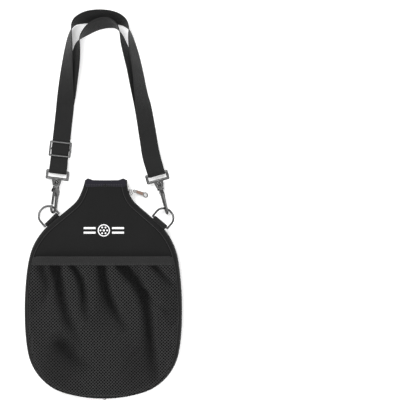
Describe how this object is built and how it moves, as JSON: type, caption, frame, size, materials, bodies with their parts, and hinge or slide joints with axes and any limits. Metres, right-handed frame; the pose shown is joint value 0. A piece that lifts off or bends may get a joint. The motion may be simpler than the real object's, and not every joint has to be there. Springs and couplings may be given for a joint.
{
  "type": "paddle case",
  "caption": "Padded racket cover with an open neck, side zip, gathered net ball pocket and a detachable doubled shoulder strap on swivel hooks.",
  "frame": {"origin": "centre of the back panel's flat resting face, which lies on the surface", "axes": "+Z out of the front panel, +Y towards the neck and the strap, +X to the right seen from the front"},
  "size_m": [0.224, 0.5539, 0.0338],
  "materials": {
    "neoprene": "matt knitted jersey over foam",
    "edge_band": "matt knitted jersey",
    "hem": "matt knitted jersey, twice stitched",
    "zip_tape": "woven tape",
    "zip_coil": "satin nylon coil",
    "net": "open knitted net",
    "elastic": "ribbed elastic",
    "print": "matt transfer print",
    "webbing": "woven webbing with a faint sheen",
    "gunmetal": "satin gunmetal plating",
    "silver_metal": "polished die casting",
    "inlay": "satin enamel"
  },
  "bodies": {
    "cover": {"back_panel": "neoprene", "front_panel": "neoprene", "gusset_left": "edge_band", "gusset_right_front": "edge_band", "gusset_right_back": "edge_band", "neck_hem_front": "hem", "neck_hem_back": "hem", "zipper_tape_front": "zip_tape", "zipper_tape_back": "zip_tape", "zipper_coil_front": "zip_coil", "zipper_coil_back": "zip_coil", "zipper_top_stops": "silver_metal", "zipper_bottom_stop": "silver_metal", "mesh_pocket": "net", "pocket_elastic": "elastic", "front_emblem": "print", "ring_tab_left": "webbing", "ring_tab_right": "webbing"},
    "slider": {"zipper_slider": "silver_metal"},
    "pull": {"pull_link": "silver_metal", "zipper_pull": "silver_metal", "pull_inlay": "inlay"},
    "ring_left": {"d_ring_left": "gunmetal"},
    "ring_right": {"d_ring_right": "gunmetal"},
    "strap": {"strap_outer_run": "webbing", "strap_inner_run": "webbing", "strap_adjust_run": "webbing", "strap_fold_left": "webbing", "strap_fold_right": "webbing", "swivel_loop_left": "gunmetal", "swivel_loop_right": "gunmetal"},
    "adjuster": {"tri_glide": "gunmetal", "strap_fold_glide": "webbing"},
    "hook_left": {"hook_body_left": "gunmetal", "gate_pin_left": "gunmetal", "gate_spring_left": "gunmetal"},
    "gate_left": {"hook_gate_left": "gunmetal"},
    "hook_right": {"hook_body_right": "gunmetal", "gate_pin_right": "gunmetal", "gate_spring_right": "gunmetal"},
    "gate_right": {"hook_gate_right": "gunmetal"}
  },
  "joints": [
    {"name": "slider_run", "type": "hinge", "parent": "cover", "child": "slider", "pos_m": [0.0786, 0.1872, 0.013], "axis": [0, 0, 1], "range_deg": [0, 20]},
    {"name": "pull_swing", "type": "hinge", "parent": "slider", "child": "pull", "pos_m": [0.04092, 0.17349, 0.013], "axis": [0.342, -0.9397, 0], "range_deg": [0, 60]},
    {"name": "ring_left_swing", "type": "hinge", "parent": "cover", "child": "ring_left", "pos_m": [-0.073, 0.134, 0.013], "axis": [0.7193, 0.6947, 0], "range_deg": [-5, 5]},
    {"name": "ring_right_swing", "type": "hinge", "parent": "cover", "child": "ring_right", "pos_m": [0.0809, 0.1306, 0.0187], "axis": [0.766, -0.6428, 0], "range_deg": [-2.5, 2.5]},
    {"name": "strap_swing", "type": "hinge", "parent": "cover", "child": "strap", "pos_m": [-0.07091, 0.15117, 0.00768], "axis": [0.9999, -0.0107, 0.0036], "range_deg": [0, 90]},
    {"name": "adjuster_slide", "type": "slide", "parent": "strap", "child": "adjuster", "axis": [0.108, 0.9942, 0], "range_m": [0, 0.045], "deforming": ["strap_adjust_run"]},
    {"name": "hook_left_swivel", "type": "hinge", "parent": "strap", "child": "hook_left", "pos_m": [-0.07091, 0.15117, 0.00768], "axis": [0.1219, 0.9925, 0], "range_deg": [-20, 20]},
    {"name": "gate_left_open", "type": "hinge", "parent": "hook_left", "child": "gate_left", "pos_m": [-0.07, 0.17564, 0.01144], "axis": [0.8681, -0.1066, 0.4848], "range_deg": [0, 14], "stiffness_Nm_per_rad": 0.02, "springref_deg": -11.46},
    {"name": "hook_right_swivel", "type": "hinge", "parent": "strap", "child": "hook_right", "pos_m": [0.08895, 0.14946, 0.00827], "axis": [-0.2656, 0.9641, 0], "range_deg": [-10, 10]},
    {"name": "gate_right_open", "type": "hinge", "parent": "hook_right", "child": "gate_right", "pos_m": [0.08182, 0.17281, 0.00402], "axis": [-0.9522, -0.2623, 0.1564], "range_deg": [0, 10], "stiffness_Nm_per_rad": 0.02, "springref_deg": -11.46}
  ]
}
